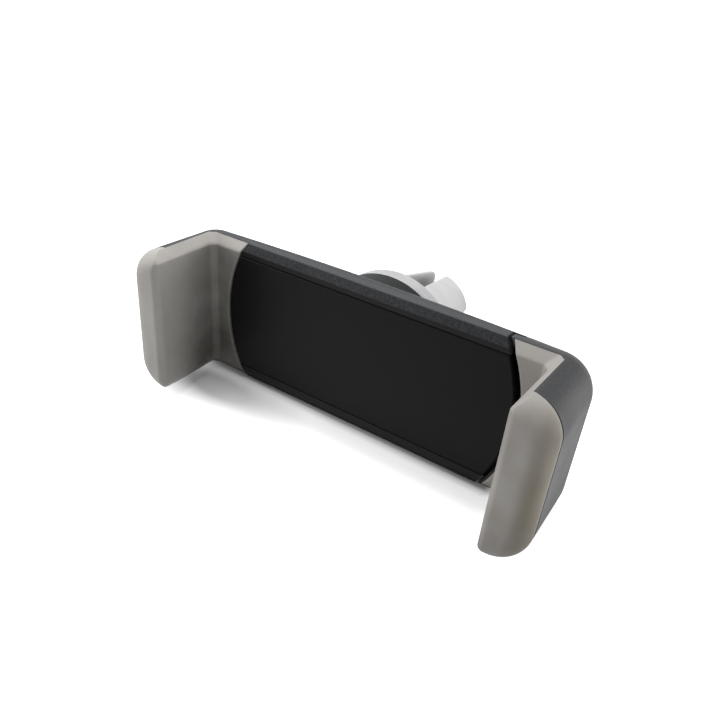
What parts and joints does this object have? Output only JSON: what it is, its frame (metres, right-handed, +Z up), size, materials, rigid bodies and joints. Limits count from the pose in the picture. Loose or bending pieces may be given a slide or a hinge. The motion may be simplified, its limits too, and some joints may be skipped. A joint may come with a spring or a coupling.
{
  "type": "air vent phone holder",
  "caption": "Phone holder for a car air vent: a flat plate between a fixed jaw and a sprung sliding jaw, both padded, turning on a fingered clip that grips a vent blade.",
  "frame": {"origin": "on the swivel axis, at the floor of the slots between the clip's fingers, where the vent blade's edge stops", "axes": "+Y into the vent along the swivel axis, -Y towards the phone, +X along the body towards the sliding jaw, +Z up"},
  "size_m": [0.0684, 0.04, 0.0244],
  "materials": {
    "dark_shell": "dark grey, fine sandblast texture",
    "black_plate": "near-black, smooth satin",
    "grey_pad": "warm grey silicone, matte",
    "pale_plastic": "pale grey, satin",
    "clear_sleeve": "milky silicone, slightly translucent",
    "inner_plastic": "plain black",
    "tongue_plastic": "plain dark grey",
    "spring_steel": "plain spring wire",
    "screw_steel": "zinc plated"
  },
  "bodies": {
    "vent_clip": {"clip_core": "pale_plastic", "upper_right_finger_sleeve": "clear_sleeve", "lower_right_finger_sleeve": "clear_sleeve", "lower_left_finger_sleeve": "clear_sleeve", "upper_left_finger_sleeve": "clear_sleeve", "wave_washer": "spring_steel", "clip_washer": "screw_steel", "clip_screw": "screw_steel"},
    "housing": {"rear_housing": "dark_shell", "front_plate": "black_plate", "slide_cover": "inner_plastic", "cover_screws": "screw_steel", "fixed_jaw_pad": "grey_pad", "upper_spring": "spring_steel", "lower_spring": "spring_steel", "upper_fixed_pin": "screw_steel", "lower_fixed_pin": "screw_steel"},
    "sliding_jaw": {"sliding_jaw_shell": "dark_shell", "sliding_jaw_pad": "grey_pad", "slide_tongue": "tongue_plastic", "tongue_screws": "screw_steel", "upper_moving_pin": "screw_steel", "lower_moving_pin": "screw_steel"}
  },
  "joints": [
    {"name": "clip_swivel", "type": "hinge", "parent": "vent_clip", "child": "housing", "pos_m": [0, 0, 0], "axis": [0, 1, 0], "continuous": true},
    {"name": "jaw_slide", "type": "slide", "parent": "housing", "child": "sliding_jaw", "axis": [1, 0, 0], "range_m": [0, 0.028], "stiffness_N_per_m": 250, "springref_m": -0.02, "deforming": ["upper_spring", "lower_spring"]}
  ]
}
